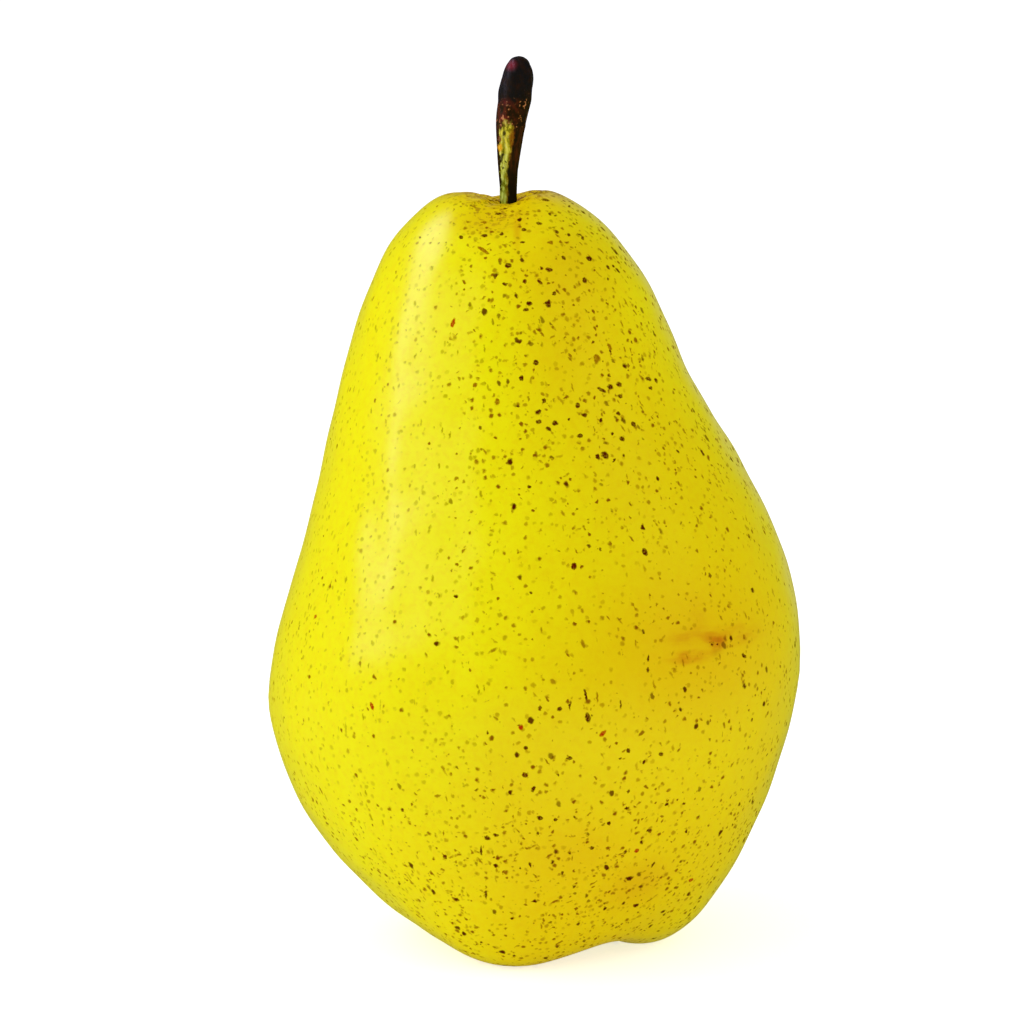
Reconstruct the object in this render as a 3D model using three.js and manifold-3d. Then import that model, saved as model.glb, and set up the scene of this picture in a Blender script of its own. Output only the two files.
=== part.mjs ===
// A ripe yellow pear: the fruit, its stem, and the dried calyx in the basin of its base.
// Units are millimetres and +Z is up. The pear stands on the lobes of its base at z = 0,
// and the origin is on that surface, under the middle of the pear. The front faces -Y.
import * as THREE from "three";
import { ParametricGeometry } from "three/addons/geometries/ParametricGeometry.js";
import { mergeVertices } from "three/addons/utils/BufferGeometryUtils.js";
import Module from "manifold-3d";

const wasm = await Module();
wasm.setup();

// ---- Driving dimensions ----

const FULL_TURN = 2 * Math.PI;
const GAP = 0.3; // between a hole and the piece that stands in it

// The fruit's two outlines as [x, z], from the middle of the calyx basin, over the base, up the
// flank and over the shoulder, into the stem cavity. Their points pair up, level by level.
const RIGHT_OUTLINE = [
  [2.5, 6.5], [5.2, 5.6], [8.3, 3.0], [12.9, 1.3], [18.7, 2.4], [23.8, 7.2],
  [29.0, 15.8], [33.2, 27.0], [35.0, 39.0], [32.8, 51.0], [27.2, 63.0], [20.2, 75.0],
  [15.2, 86.0], [8.6, 94.7], [1.8, 98.6], [-1.4, 97.0], [-3.35, 96.0],
];
const LEFT_OUTLINE = [
  [2.5, 6.5], [-0.2, 5.6], [-3.7, 3.0], [-9.0, 1.2], [-15.8, 2.9], [-23.1, 8.8],
  [-29.8, 16.8], [-34.0, 26.0], [-35.0, 35.0], [-32.4, 46.0], [-29.0, 58.0], [-26.3, 70.0],
  [-23.2, 81.5], [-18.9, 91.5], [-11.4, 98.3], [-5.3, 97.0], [-3.35, 96.0],
];
const TOP_LEVEL = RIGHT_OUTLINE.length - 1;
const DEPTH = 0.97; // front to back, as a share of the width
const FRUIT_RINGS = 60;
const FRUIT_SIDES = 72;

// The lobes of the base, by azimuth in degrees (0 is +X, -90 is the front) and size. The one with
// a negative size is the deeper furrow between the front lobe and the right one.
const LOBES = [
  { azimuth: -107, size: 1.9 },
  { azimuth: -61, size: -1.0 },
  { azimuth: -22, size: 2.0 },
  { azimuth: 48, size: 1.4 },
  { azimuth: 112, size: 1.4 },
  { azimuth: 176, size: 1.4 },
];
const LOBE_SHARPNESS = 8;
const LOBE_LEVEL = { middle: 3.0, reach: 1.5 };
const LOBE_FLANK = { middle: 4.6, reach: 1.6, share: 0.6 }; // a lobe also fills out the flank over it

// Places where the flank stands out of the plain oval, or falls back.
const SWELLS = [
  { azimuth: -100, size: 4.4, sharpness: 4, middle: 3.4, reach: 2.0 },
  { azimuth: 62, size: 0.9, sharpness: 5, middle: 6.5, reach: 2.5 },
  { azimuth: 128, size: -0.8, sharpness: 6, middle: 8.5, reach: 2.5 },
  { azimuth: 100, size: 0.8, sharpness: 4, middle: 12.0, reach: 2.0 },
];

// Creases that run out of the stem cavity and over its rim.
const CREASES = [
  { azimuth: -88, size: 1.5, sharpness: 6 },
  { azimuth: 95, size: 1.1, sharpness: 5 },
];
const RIM_LEVEL = { middle: TOP_LEVEL - 2.2, reach: 1.0 };
const POLE_FADE = 2.0; // all bumps fade out within this of the outlines' two ends

// The stem's middle line as [x, y, z, radius], from its root to its rounded tip.
const STEM_LINE = [
  [-3.35, 0.0, 89.4, 1.1], [-3.35, 0.0, 94.0, 1.1], [-3.38, 0.05, 97.0, 1.1],
  [-3.38, 0.1, 100.0, 1.17], [-3.3, 0.15, 103.5, 1.5], [-3.05, 0.2, 107.5, 1.92],
  [-2.6, 0.25, 111.3, 2.13], [-2.3, 0.3, 113.6, 1.95], [-2.12, 0.32, 115.1, 1.4],
  [-2.05, 0.33, 115.8, 0.75], [-2.03, 0.33, 116.0, 0.0],
];
const STEM_RINGS = 32;
const STEM_SIDES = 18;
const STEM_RIBS = { count: 3, depth: 0.06, twist: 0.5 }; // depth as a share of the radius
const STEM_HOLE = { x: -3.35, y: 0, bottom: 89.1, top: 100, radius: 1.5 };

// The calyx: a plug in a socket, which ends in a shallow cup, and five sepals round the cup.
const BASIN = { x: 2.5, y: 0 };
const PLUG = { radius: 1.9, top: 10.2 };
const CUP = { radius: 1.2, floor: 5.2, rim: 4.5 };
const SEPALS = 5;
const SEPAL_LINE = [[1.1, 5.7], [2.0, 4.6], [2.7, 3.3], [3.5, 2.3], [4.5, 1.9]]; // as [out, z]
const SEPAL = { width: 2.2, tip: 0.35, thickness: 0.8, rings: 8, sides: 8 };
const HOLE_SIDES = 32;

// ---- Curves and bumps ----

// The point as far beyond an end as its neighbour is before it.
function beyond(end, neighbour) {
  return end.map((value, axis) => 2 * value - neighbour[axis]);
}

function withEnds(points) {
  const last = points.length - 1;
  return [beyond(points[0], points[1]), ...points, beyond(points[last], points[last - 1])];
}

// Control points of the uniform cubic B-spline that passes through the points: each control is
// moved by what its own point is missed by, until nothing is missed.
function splineThrough(points) {
  let controls = points;
  for (let round = 0; round < 40; round++) {
    const ended = withEnds(controls);
    controls = controls.map((control, i) =>
      control.map((value, axis) => {
        const reached = (ended[i][axis] + 4 * value + ended[i + 2][axis]) / 6;
        return value + points[i][axis] - reached;
      }),
    );
  }
  return withEnds(controls);
}

// The spline's point at a level: a whole level is one of the points that it passes through.
function splineAt(controls, level) {
  const span = Math.min(Math.floor(level), controls.length - 4);
  const t = level - span;
  const weights = [
    (1 - t) ** 3 / 6,
    (3 * t ** 3 - 6 * t ** 2 + 4) / 6,
    (-3 * t ** 3 + 3 * t ** 2 + 3 * t + 1) / 6,
    t ** 3 / 6,
  ];
  return controls[0].map((_, axis) =>
    weights.reduce((sum, weight, k) => sum + weight * controls[span + k][axis], 0),
  );
}

// A smooth bump of height 1 round an azimuth.
function humpAt(angle, { azimuth, sharpness }) {
  return Math.exp(sharpness * (Math.cos(angle - THREE.MathUtils.degToRad(azimuth)) - 1));
}

// A smooth bump of height 1 round a level.
function bellAt(level, { middle, reach }) {
  return Math.exp(-(((level - middle) / reach) ** 2));
}

function sumOf(list, valueOf) {
  return list.reduce((sum, item) => sum + valueOf(item), 0);
}

// ---- Solids ----

// A closed geometry as a solid. The faces that have no area at a pole are left out.
function solidFrom(geometry) {
  const plain = geometry.clone();
  plain.deleteAttribute("normal");
  plain.deleteAttribute("uv");
  const merged = mergeVertices(plain, 1e-4);
  const corners = [...merged.index.array];
  const faces = [];
  for (let i = 0; i < corners.length; i += 3) {
    const [a, b, c] = corners.slice(i, i + 3);
    if (a !== b && b !== c && c !== a) faces.push(a, b, c);
  }
  const vertProperties = merged.attributes.position.array;
  const mesh = new wasm.Mesh({ numProp: 3, vertProperties, triVerts: new Uint32Array(faces) });
  return new wasm.Manifold(mesh);
}

function uprightCylinder({ x, y, bottom, top, radius }) {
  const geometry = new THREE.CylinderGeometry(radius, radius, top - bottom, HOLE_SIDES);
  geometry.rotateX(Math.PI / 2);
  geometry.translate(x, y, (top + bottom) / 2);
  return solidFrom(geometry);
}

// Everything below the surface that the pear stands on.
function ground() {
  const size = 100;
  return solidFrom(new THREE.BoxGeometry(size, size, size).translate(0, 0, -size / 2));
}

// ---- The fruit ----

const rightSpline = splineThrough(RIGHT_OUTLINE);
const leftSpline = splineThrough(LEFT_OUTLINE);

// The skin: at each level a slanted oval that touches both outlines, pushed out and down by the
// lobes of the base and by the swells, and pressed in by the creases at the top.
function skinPoint(round, rise, target) {
  const angle = FULL_TURN * (round % 1);
  const level = rise * TOP_LEVEL;
  const [rightX, rightZ] = splineAt(rightSpline, level);
  const [leftX, leftZ] = splineAt(leftSpline, level);
  const halfWidth = (rightX - leftX) / 2;
  const fade = 1 - Math.exp(-((halfWidth / POLE_FADE) ** 2));
  const lobe = sumOf(LOBES, (one) => one.size * humpAt(angle, { ...one, sharpness: LOBE_SHARPNESS }));
  const swell = sumOf(SWELLS, (one) => one.size * humpAt(angle, one) * bellAt(level, one));
  const crease = sumOf(CREASES, (one) => one.size * humpAt(angle, one)) * bellAt(level, RIM_LEVEL);
  const out = halfWidth + fade * (swell + LOBE_FLANK.share * lobe * bellAt(level, LOBE_FLANK));
  target.set(
    (rightX + leftX) / 2 + out * Math.cos(angle),
    DEPTH * out * Math.sin(angle),
    (rightZ + leftZ) / 2 + ((rightZ - leftZ) / 2) * Math.cos(angle) -
      fade * (lobe * bellAt(level, LOBE_LEVEL) + crease),
  );
}

function fruit() {
  const socket = { ...BASIN, bottom: 0, top: PLUG.top + GAP, radius: PLUG.radius + GAP };
  return solidFrom(new ParametricGeometry(skinPoint, FRUIT_SIDES, FRUIT_RINGS))
    .subtract(ground())
    .subtract(uprightCylinder(STEM_HOLE))
    .subtract(uprightCylinder(socket));
}

// ---- The stem ----

const stemSpline = splineThrough(STEM_LINE);

// Rings round the middle line, with soft twisting ribs. The first ring is a point, which closes
// the root with a flat end, and the last one is the tip.
function stemPoint(round, rise, target) {
  const angle = FULL_TURN * (round % 1);
  const [x, y, z, radius] = splineAt(stemSpline, rise * (STEM_LINE.length - 1));
  const turned = angle + STEM_RIBS.twist * rise * FULL_TURN;
  const rib = 1 + STEM_RIBS.depth * Math.cos(STEM_RIBS.count * turned);
  const out = rise === 0 || rise === 1 ? 0 : radius * rib;
  target.set(x + out * Math.cos(angle), y + out * Math.sin(angle), z);
}

function stem() {
  return solidFrom(new ParametricGeometry(stemPoint, STEM_SIDES, STEM_RINGS));
}

// ---- The calyx ----

// The plug and its cup, turned from one profile, as [radius, z] from the cup's floor to the top.
function calyxBody() {
  const profile = [
    [0, CUP.floor], [CUP.radius, CUP.floor], [CUP.radius + 0.1, CUP.rim],
    [PLUG.radius, CUP.rim], [PLUG.radius, PLUG.top], [0, PLUG.top],
  ];
  const points = profile.map(([radius, z]) => new THREE.Vector2(radius, z));
  return solidFrom(new THREE.LatheGeometry(points, HOLE_SIDES).rotateX(Math.PI / 2));
}

const sepalSpline = splineThrough(SEPAL_LINE);

// One sepal along +X: a flat oval section carried along its line, narrowing to the tip.
function sepalPoint(round, run, target) {
  const angle = FULL_TURN * (round % 1);
  const last = SEPAL_LINE.length - 1;
  const [out, z] = splineAt(sepalSpline, run * last);
  const [nextOut, nextZ] = splineAt(sepalSpline, Math.min(run + 0.01, 1) * last);
  const [pastOut, pastZ] = splineAt(sepalSpline, Math.max(run - 0.01, 0) * last);
  const along = new THREE.Vector2(nextOut - pastOut, nextZ - pastZ).normalize();
  const closed = run === 0 || run === 1 ? 0 : 1;
  const width = (closed * (SEPAL.width + (SEPAL.tip - SEPAL.width) * run ** 2)) / 2;
  const thickness = (closed * SEPAL.thickness) / 2;
  target.set(
    out - along.y * thickness * Math.sin(angle),
    width * Math.cos(angle),
    z + along.x * thickness * Math.sin(angle),
  );
}

function calyx() {
  let solid = calyxBody();
  for (let i = 0; i < SEPALS; i++) {
    const sepal = new ParametricGeometry(sepalPoint, SEPAL.sides, SEPAL.rings);
    sepal.rotateZ((i * FULL_TURN) / SEPALS);
    solid = solid.add(solidFrom(sepal));
  }
  return solid;
}

// ---- The pear ----

function meshFrom(name, solid, material) {
  const { vertProperties, triVerts } = solid.getMesh();
  const geometry = new THREE.BufferGeometry();
  geometry.setAttribute("position", new THREE.BufferAttribute(vertProperties, 3));
  geometry.setIndex(new THREE.BufferAttribute(triVerts, 1));
  geometry.computeVertexNormals();
  const mesh = new THREE.Mesh(geometry, new THREE.MeshStandardMaterial(material));
  mesh.name = name;
  return mesh;
}

const pear = new THREE.Group();
const calyxMesh = meshFrom("calyx", calyx(), { color: 0x3b2a1c, roughness: 0.9, metalness: 0 });
calyxMesh.position.set(BASIN.x, BASIN.y, 0);
pear.add(
  meshFrom("pear_fruit", fruit(), { color: 0xe8da11, roughness: 0.35, metalness: 0 }),
  meshFrom("stem", stem(), { color: 0x4a2a1e, roughness: 0.6, metalness: 0 }),
  calyxMesh,
);

export default pear;
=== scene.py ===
"""A ripe yellow pear, standing on the lobes of its base: specked skin, woody stem and dried calyx.

Sizes and places are in millimetres until a mesh is made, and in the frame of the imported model:
+Z is up, the front faces -Y, and z = 0 is what the pear stands on.
"""
import math

import bpy
import numpy as np
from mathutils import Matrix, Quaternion, Vector


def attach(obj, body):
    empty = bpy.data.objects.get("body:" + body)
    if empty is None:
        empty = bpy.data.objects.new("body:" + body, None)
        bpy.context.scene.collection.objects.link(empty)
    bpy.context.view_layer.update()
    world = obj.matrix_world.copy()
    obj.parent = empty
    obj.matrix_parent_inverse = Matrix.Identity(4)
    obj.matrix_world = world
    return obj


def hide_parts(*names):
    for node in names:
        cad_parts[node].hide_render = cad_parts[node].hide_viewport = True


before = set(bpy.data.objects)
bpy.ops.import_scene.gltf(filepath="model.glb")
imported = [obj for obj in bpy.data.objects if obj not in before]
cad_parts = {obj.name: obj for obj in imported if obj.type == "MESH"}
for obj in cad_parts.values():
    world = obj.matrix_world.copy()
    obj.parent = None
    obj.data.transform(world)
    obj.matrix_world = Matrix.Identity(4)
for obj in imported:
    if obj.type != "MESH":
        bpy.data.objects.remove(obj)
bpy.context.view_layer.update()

MM = 0.001
FULL_TURN = 2 * math.pi


# ---- Driving dimensions of the fruit ----

# The two outlines as [x, z], from the middle of the calyx basin, over the base, up the flank and
# over the shoulder, into the stem cavity. Their points pair up, level by level.
RIGHT_OUTLINE = [
    [2.5, 6.5], [5.2, 5.6], [8.3, 3.0], [12.9, 1.3], [18.7, 2.4], [23.8, 7.2],
    [29.0, 15.8], [33.2, 27.0], [35.0, 39.0], [32.8, 51.0], [27.2, 63.0], [20.2, 75.0],
    [15.2, 86.0], [8.6, 94.7], [1.8, 98.6], [-1.4, 97.0], [-3.35, 96.0],
]
LEFT_OUTLINE = [
    [2.5, 6.5], [-0.2, 5.6], [-3.7, 3.0], [-9.0, 1.2], [-15.8, 2.9], [-23.1, 8.8],
    [-29.8, 16.8], [-34.0, 26.0], [-35.0, 35.0], [-32.4, 46.0], [-29.0, 58.0], [-26.3, 70.0],
    [-23.2, 81.5], [-18.9, 91.5], [-11.4, 98.3], [-5.3, 97.0], [-3.35, 96.0],
]
TOP_LEVEL = len(RIGHT_OUTLINE) - 1
DEPTH = 0.97  # front to back, as a share of the width

# Lobes of the base as (azimuth in degrees, size); 0 is +X and -90 is the front.
LOBES = [(-107, 1.9), (-61, -1.0), (-22, 2.0), (48, 1.4), (112, 1.4), (176, 1.4)]
LOBE_SHARPNESS = 8
LOBE_LEVEL = (3.0, 1.5)  # the level of its middle, and how many levels it reaches
LOBE_FLANK = (4.6, 1.6)
LOBE_FLANK_SHARE = 0.6

# Places where the flank swells or falls back, as (azimuth, size, sharpness, level, reach).
SWELLS = [
    (-100, 4.4, 4, 3.4, 2.0),
    (62, 0.9, 5, 6.5, 2.5),
    (128, -0.8, 6, 8.5, 2.5),
    (100, 0.8, 4, 12.0, 2.0),
]

# Creases that run out of the stem cavity over its rim, as (azimuth, depth, sharpness).
CREASES = [(-88, 1.5, 6), (95, 1.1, 5)]
RIM_LEVEL = (TOP_LEVEL - 2.2, 1.0)
POLE_FADE = 2.0  # all of these fade out within this of the outlines' two ends

SKIN_RINGS = 280
SKIN_SIDES = 320
SKIN_SOFTENING = 0.2  # rounds the edge of the flats on which the pear stands
CAVITY_PLEATS = {"count": 11, "depth": 0.22, "middle": 4.2, "reach": 2.6}
BASIN_PLEATS = {"count": 10, "depth": 0.35, "middle": 4.6, "reach": 2.4}

# Soft unevenness of the flesh: waves along these directions, in radians a millimetre.
WAVES = [
    (0.71, 0.22, 0.30), (-0.38, 0.55, 0.24), (0.15, -0.61, 0.41),
    (0.49, 0.35, -0.55), (-0.23, 0.17, 0.78), (0.95, -0.43, 0.12),
]
WAVE_HEIGHT = 0.07

# The holes in which the stem and the calyx stand: the skin runs down into them and closes there.
STEM_HOLE = {"x": -3.35, "y": 0.0, "radius": 1.24, "end": 89.2}
CALYX_HOLE = {"x": 2.5, "y": 0.0, "radius": 2.05, "end": 10.4}
HOLE_RINGS = 6


# ---- Driving dimensions of the stem and the calyx ----

# The stem's middle line as [x, y, z, radius], from its root to its rounded tip.
STEM_LINE = [
    [-3.35, 0.0, 89.4, 1.1], [-3.35, 0.0, 94.0, 1.1], [-3.38, 0.05, 97.0, 1.1],
    [-3.38, 0.1, 100.0, 1.17], [-3.3, 0.15, 103.5, 1.5], [-3.05, 0.2, 107.5, 1.92],
    [-2.6, 0.25, 111.3, 2.13], [-2.3, 0.3, 113.6, 1.95], [-2.12, 0.32, 115.1, 1.4],
    [-2.05, 0.33, 115.8, 0.75], [-2.03, 0.33, 116.0, 0.0],
]
STEM_RINGS = 170
STEM_SIDES = 96
STEM_RIBS = {"count": 3, "depth": 0.06, "twist": 0.5}
STEM_GROOVES = {"count": 9, "depth": 0.022, "twist": 0.8}
STEM_WARTS = [  # azimuth, height, size across, height of the wart
    (-120, 101.2, 0.5, 0.1), (-60, 103.0, 0.6, 0.12), (-150, 104.6, 0.5, 0.14),
    (-95, 106.2, 0.7, 0.16), (-20, 107.0, 0.6, 0.12), (-135, 108.2, 0.8, 0.15),
    (-70, 108.9, 0.5, 0.14), (60, 105.2, 0.7, 0.14), (130, 107.6, 0.6, 0.13),
    (100, 102.3, 0.5, 0.1), (20, 110.3, 0.8, 0.12), (-170, 111.5, 0.8, 0.1),
    (-100, 113.9, 0.9, 0.12), (80, 112.2, 0.8, 0.12),
]

BASIN = (CALYX_HOLE["x"], CALYX_HOLE["y"])
PLUG_PROFILE = [  # radius and height, from the cup's floor over its rim to the plug's top
    (0.0, 5.25), (0.8, 5.2), (1.15, 4.95), (1.25, 4.6), (1.45, 4.45),
    (1.75, 4.5), (1.9, 4.8), (1.9, 6.5), (1.9, 8.5), (1.85, 10.1), (0.0, 10.2),
]
SEPAL_LINE = [[1.1, 5.7], [2.0, 4.6], [2.7, 3.3], [3.5, 2.3], [4.5, 1.9]]
SEPALS = [  # azimuth, width, length share, sideways curl, how far the tip curls down or up
    (4, 2.2, 1.0, 0.35, 0.10), (75, 2.0, 0.93, -0.30, 0.35), (143, 2.25, 1.0, 0.20, -0.15),
    (217, 1.9, 0.95, -0.45, 0.20), (290, 2.15, 0.98, 0.30, 0.30),
]
SEPAL_THICKNESS = 0.42
STAMENS = 17


# ---- Curves and bumps ----

def beyond_both_ends(points):
    """The points with one more at each end, as far beyond it as its neighbour is before it."""
    return np.vstack([2 * points[0] - points[1], points, 2 * points[-1] - points[-2]])


def spline_through(points):
    """Controls of the uniform cubic B-spline that passes through the points.

    Each control moves by what its own point is missed by, which at a whole level is
    point - (previous + 4 own + next) / 6, until nothing is missed.
    """
    points = np.array(points, float)
    controls = points
    for _ in range(40):
        ended = beyond_both_ends(controls)
        controls = controls + points - (ended[:-2] + 4 * ended[1:-1] + ended[2:]) / 6
    return beyond_both_ends(controls)


def spline_at(controls, level):
    """The spline's points at an array of levels: a whole level is a point that it passes through."""
    span = np.clip(np.floor(level).astype(int), 0, len(controls) - 4)
    t = (level - span)[..., None]
    weights = [
        (1 - t) ** 3 / 6,
        (3 * t**3 - 6 * t**2 + 4) / 6,
        (-3 * t**3 + 3 * t**2 + 3 * t + 1) / 6,
        t**3 / 6,
    ]
    return sum(weight * controls[span + k] for k, weight in enumerate(weights))


def hump(angle, azimuth, sharpness):
    """A smooth bump of height 1 round an azimuth: exp(sharpness (cos(angle - azimuth) - 1))."""
    return np.exp(sharpness * (np.cos(angle - math.radians(azimuth)) - 1))


def bell(value, middle, reach):
    """A smooth bump of height 1 round a middle: exp(-((value - middle) / reach) squared)."""
    return np.exp(-(((value - middle) / reach) ** 2))


def ring_angles(sides, first):
    """Evenly spaced angles round a ring, from the first one, in degrees."""
    return math.radians(first) + FULL_TURN * np.arange(sides) / sides


def even_steps(points, count, weight):
    """Positions 0..1 along a path that share out its length, times a weight, evenly."""
    step = np.linalg.norm(np.diff(points, axis=0), axis=1) * (weight[1:] + weight[:-1]) / 2
    length = np.concatenate([[0], np.cumsum(step)])
    return np.interp(np.linspace(0, length[-1], count), length, np.linspace(0, 1, len(points)))


def normals_of(rings):
    """Outward unit normals of a grid of rings: the way round crossed with the way up."""
    around = np.roll(rings, -1, axis=1) - np.roll(rings, 1, axis=1)
    upward = np.gradient(rings, axis=0)
    normal = np.cross(around, upward)
    return normal / np.maximum(np.linalg.norm(normal, axis=-1, keepdims=True), 1e-9)


# ---- Meshes ----

def closed_tube(rings):
    """Points, quads, pole triangles and the UVs of both, for a closed skin over [ring, side, xyz].

    The first and the last ring have no size, and become one point each. The UV map is flat:
    u is the share of the way round, and v the share of the way along.
    """
    count, sides = rings.shape[:2]
    inner = rings[1:-1]
    points = np.concatenate([rings[0, :1], inner.reshape(-1, 3), rings[-1, :1]])
    number = 1 + np.arange((count - 2) * sides).reshape(count - 2, sides)
    following = np.roll(number, -1, axis=1)
    corners = [number[:-1], following[:-1], following[1:], number[1:]]
    quads = np.stack(corners, -1).reshape(-1, 4)
    start = np.stack([np.zeros(sides, int), following[0], number[0]], -1)
    end = np.stack([np.full(sides, len(points) - 1), number[-1], following[-1]], -1)
    spread = np.linalg.norm(np.diff(rings, axis=0), axis=-1).mean(axis=1)
    v = np.concatenate([[0], np.cumsum(spread)]) / max(spread.sum(), 1e-9)
    u = np.arange(sides + 1) / sides
    left, right = np.meshgrid(u[:-1], v[1:-1])[0], np.meshgrid(u[1:], v[1:-1])[0]
    height = np.repeat(v[1:-1, None], sides, axis=1)
    on_left, on_right = np.stack([left, height], -1), np.stack([right, height], -1)
    quad_uv = np.stack([on_left[:-1], on_right[:-1], on_right[1:], on_left[1:]], 2).reshape(-1, 2)
    centre_u = (u[:-1] + u[1:]) / 2
    start_pole = np.stack([centre_u, np.full(sides, v[0])], -1)
    end_pole = np.stack([centre_u, np.full(sides, v[-1])], -1)
    start_uv = np.stack([start_pole, on_right[0], on_left[0]], 1).reshape(-1, 2)
    end_uv = np.stack([end_pole, on_left[-1], on_right[-1]], 1).reshape(-1, 2)
    return points, quads, np.concatenate([start, end]), quad_uv, np.concatenate([start_uv, end_uv])


def add_object(name, data):
    made = bpy.data.objects.new(name, data)
    bpy.context.scene.collection.objects.link(made)
    return made


def make_piece(name, tubes, material, nodes, uv_name="surface"):
    """One object from the rings of closed tubes, at the origin, smooth, riding on the root body."""
    points, quads, triangles, quad_uvs, triangle_uvs = zip(*map(closed_tube, tubes))
    firsts = np.cumsum([0] + [len(part) for part in points])
    faces = []
    for kind in (quads, triangles):
        for corners, first in zip(kind, firsts):
            faces += (corners + first).tolist()
    mesh = bpy.data.meshes.new(name)
    mesh.from_pydata((np.concatenate(points) * MM).tolist(), [], faces)
    mesh.shade_smooth()
    uvs = np.concatenate(quad_uvs + triangle_uvs)
    mesh.uv_layers.new(name=uv_name).data.foreach_set("uv", uvs.astype(np.float32).ravel())
    mesh.materials.append(material)
    mesh.validate()
    piece = add_object(name, mesh)
    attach(piece, "root")
    if nodes:
        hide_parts(*nodes)
    return piece


# ---- The fruit's skin ----

RIGHT_SPLINE = spline_through(RIGHT_OUTLINE)
LEFT_SPLINE = spline_through(LEFT_OUTLINE)


def skin_surface(level, angle):
    """The skin at arrays of levels and angles, as [level, angle, xyz].

    A level's ring is a slanted oval that touches both outlines: with half their distance as
    half, x = middle + out cos(angle), y = DEPTH out sin(angle), and z = mean height + half
    the height difference cos(angle). out is half, plus the swells and the lobes' flanks. The
    lobes and the creases press z down. Everything that isn't the oval fades as
    1 - exp(-(half / POLE_FADE) squared) towards the two ends, and z is kept above 0 by
    (z + sqrt(z squared + softening squared)) / 2.
    """
    right = spline_at(RIGHT_SPLINE, level)[:, None]
    left = spline_at(LEFT_SPLINE, level)[:, None]
    level, angle = level[:, None], angle[None, :]
    half = (right[..., 0] - left[..., 0]) / 2
    fade = 1 - np.exp(-((half / POLE_FADE) ** 2))
    lobe = sum(size * hump(angle, azimuth, LOBE_SHARPNESS) for azimuth, size in LOBES)
    swell = sum(
        size * hump(angle, azimuth, sharpness) * bell(level, middle, reach)
        for azimuth, size, sharpness, middle, reach in SWELLS
    )
    crease = sum(depth * hump(angle, azimuth, sharpness) for azimuth, depth, sharpness in CREASES)
    out = half + fade * (swell + LOBE_FLANK_SHARE * lobe * bell(level, *LOBE_FLANK))
    x = (right[..., 0] + left[..., 0]) / 2 + out * np.cos(angle)
    y = DEPTH * out * np.sin(angle)
    z = (right[..., 1] + left[..., 1]) / 2 + (right[..., 1] - left[..., 1]) / 2 * np.cos(angle)
    z = z - fade * (lobe * bell(level, *LOBE_LEVEL) + crease * bell(level, *RIM_LEVEL))
    z = z - pleats(half, angle, level)
    z = (z + np.sqrt(z**2 + SKIN_SOFTENING**2)) / 2
    return np.stack([x, y, z], -1)


def pleats(half, angle, level):
    """Small radial folds round the stem and round the calyx, as depths.

    Each is depth (1 + cos(count angle + 1.4 sin(3 angle))) / 2 times a bell in the ring's half
    width, and is kept to its own end of the fruit.
    """
    depth = 0
    for fold, near in ((CAVITY_PLEATS, level > TOP_LEVEL / 2), (BASIN_PLEATS, level < TOP_LEVEL / 2)):
        wave = (1 + np.cos(fold["count"] * angle + 1.4 * np.sin(3 * angle))) / 2
        depth = depth + near * fold["depth"] * wave * bell(half, fold["middle"], fold["reach"])
    return depth


def unevenness(points):
    """Soft swellings of the flesh: WAVE_HEIGHT times the root of how many waves there are, times
    the mean of sin(wave . point + 1.7 number) over them."""
    waves = [np.sin(points @ np.array(wave) + 1.7 * number) for number, wave in enumerate(WAVES)]
    return WAVE_HEIGHT * np.mean(waves, axis=0) * math.sqrt(len(WAVES))


def half_apart(level):
    """Half the way from the left outline to the right one at an array of levels, as [x, z]."""
    return (spline_at(RIGHT_SPLINE, level) - spline_at(LEFT_SPLINE, level)) / 2


def level_of_width(half_width, inner, outer):
    """The level between inner and outer, ends of the outlines, where a ring has this half width."""
    levels = np.linspace(inner, outer, 400)
    return np.interp(half_width, half_apart(levels)[:, 0], levels)


def hole_rings(rim, hole, angle):
    """Rings from a rim into its hole: over the first fifth of the way the rim's points slide to the
    hole's circle, then they go along it to its end and close there in one point."""
    circle = np.stack([
        hole["x"] + hole["radius"] * np.cos(angle),
        hole["y"] + hole["radius"] * np.sin(angle),
        np.full(len(angle), hole["end"]),
    ], -1)
    rings = []
    for step in np.linspace(0, 1, HOLE_RINGS + 1)[1:]:
        ring = rim + (circle - rim) * min(1.0, 5 * step)
        ring[:, 2] = rim[:, 2] + (hole["end"] - rim[:, 2]) * step
        rings.append(ring)
    centre = np.array([hole["x"], hole["y"], hole["end"]])
    rings.append(np.broadcast_to(centre, rim.shape))
    return np.stack(rings)


def skin_rings():
    """All rings of the skin, from the closed end of the calyx hole to that of the stem hole.

    Their levels share out the length of the curve of half_apart, so they lie closer where the
    width changes most, and closer again near both ends. Between the holes each point also moves
    along its normal by the unevenness of the flesh.
    """
    angle = ring_angles(SKIN_SIDES, 90)
    first = level_of_width(CALYX_HOLE["radius"], 0, 2)
    last = level_of_width(STEM_HOLE["radius"], TOP_LEVEL, TOP_LEVEL - 2)
    levels = np.linspace(first, last, 2000)
    closeness = 1 + 1.6 * bell(levels, 0, 2.5) + 1.6 * bell(levels, TOP_LEVEL, 2.5)
    shares = even_steps(half_apart(levels), SKIN_RINGS, closeness)
    levels = first + (last - first) * shares
    rings = skin_surface(levels, angle)
    half = half_apart(levels)[:, :1]
    height = unevenness(rings) * (1 - np.exp(-((half / 6) ** 2))) * np.clip(rings[..., 2] / 3, 0, 1)
    rings = rings + normals_of(rings) * height[..., None]
    into_calyx = hole_rings(rings[0], CALYX_HOLE, angle)[::-1]
    into_stem = hole_rings(rings[-1], STEM_HOLE, angle)
    return np.concatenate([into_calyx, rings, into_stem])


# ---- The stem ----

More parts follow.
